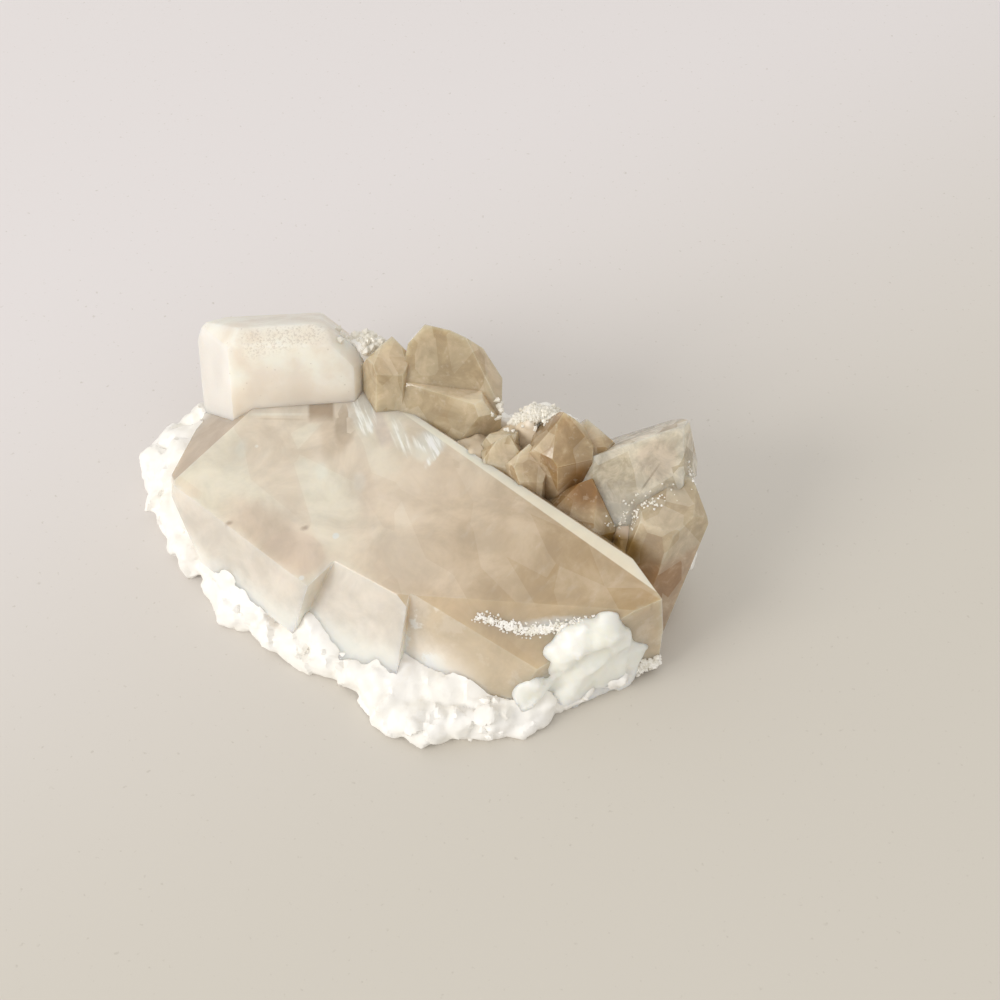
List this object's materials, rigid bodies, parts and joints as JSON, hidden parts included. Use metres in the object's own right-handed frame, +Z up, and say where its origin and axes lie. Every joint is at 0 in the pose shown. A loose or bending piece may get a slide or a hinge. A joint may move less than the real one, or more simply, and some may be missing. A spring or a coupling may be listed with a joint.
{
  "type": "quartz crystal cluster",
  "caption": "Smoky quartz crystals grown together on a milky quartz base: a long crystal lying across it, short ones around, flat underneath.",
  "frame": {"origin": "middle of the bounding box, on the flat underside", "axes": "+Z up from the surface that it rests on, +X to the right as seen in the picture, +Y away from the camera"},
  "size_m": [0.0858, 0.0672, 0.0302],
  "materials": {
    "smoky_quartz": "glassy crystal faces, cloudy inside, on rough milky quartz"
  },
  "bodies": {
    "root": {"quartz_cluster": "smoky_quartz"}
  },
  "joints": []
}
